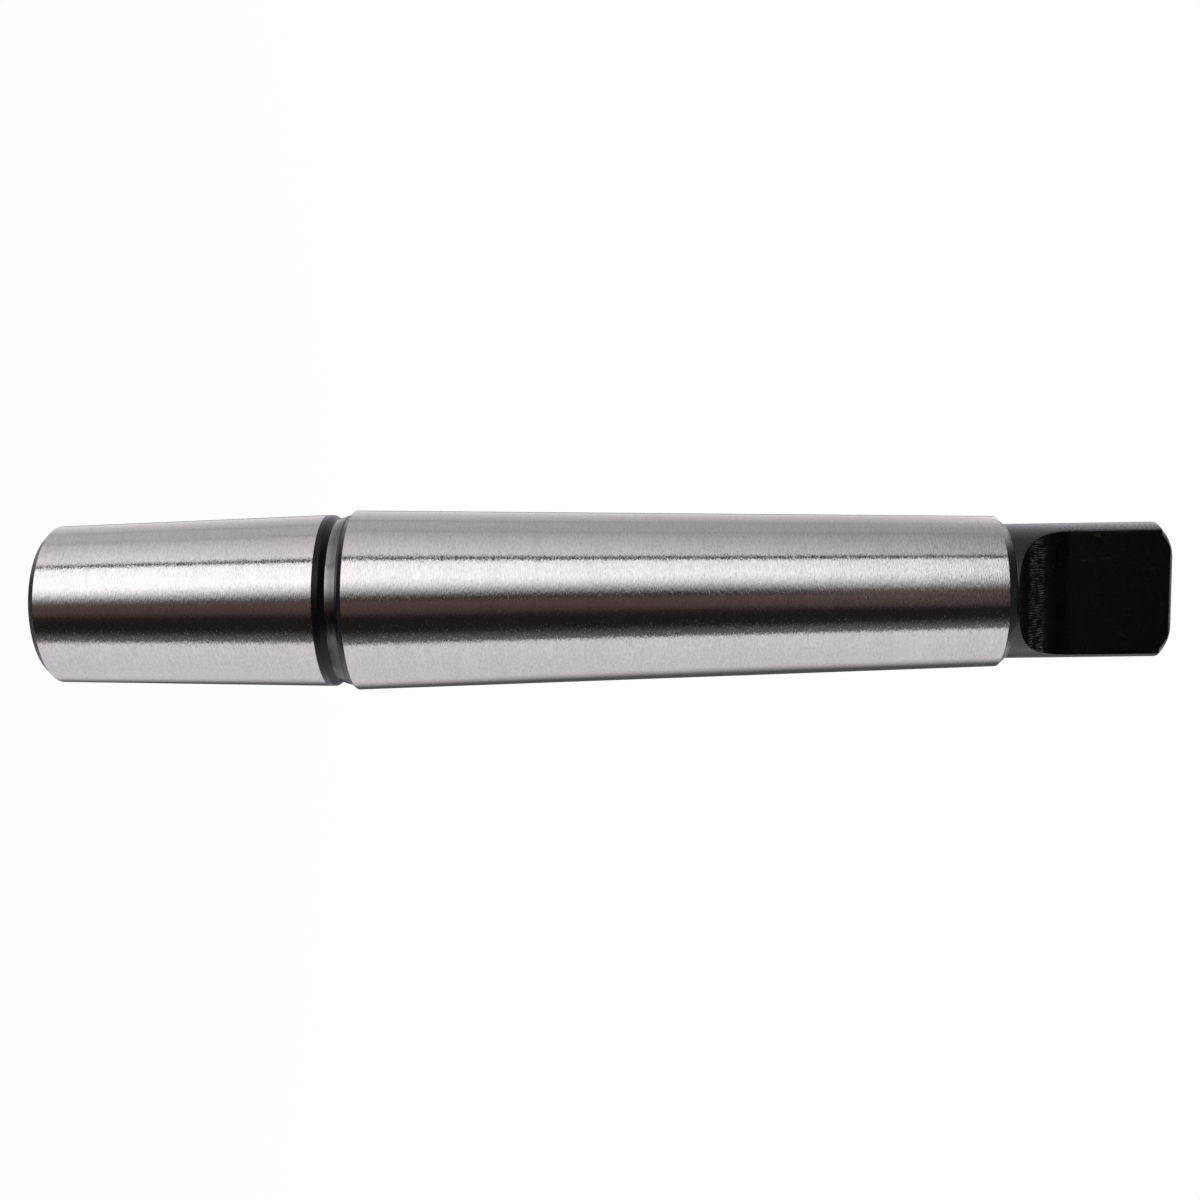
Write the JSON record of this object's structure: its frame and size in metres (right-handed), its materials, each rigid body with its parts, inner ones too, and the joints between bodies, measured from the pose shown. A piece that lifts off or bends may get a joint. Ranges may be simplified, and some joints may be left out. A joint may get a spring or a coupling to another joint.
{
  "type": "drill chuck arbor",
  "caption": "One-piece drill chuck arbor: ground chuck taper, relief groove, ground tapered shank and blackened tang with milled flats.",
  "frame": {"origin": "centre of the nose end face, on the arbor's axis, where it stands on its nose", "axes": "+Z along the axis from the nose to the tang; the two tang flats face -Y and +Y; +X runs across the tang's width"},
  "size_m": [0.018, 0.018, 0.1104],
  "materials": {
    "ground_steel": "fine ground tapers with a black oxide tang, neck, groove and nose chamfer"
  },
  "bodies": {
    "root": {"chuck_arbor": "ground_steel"}
  },
  "joints": []
}
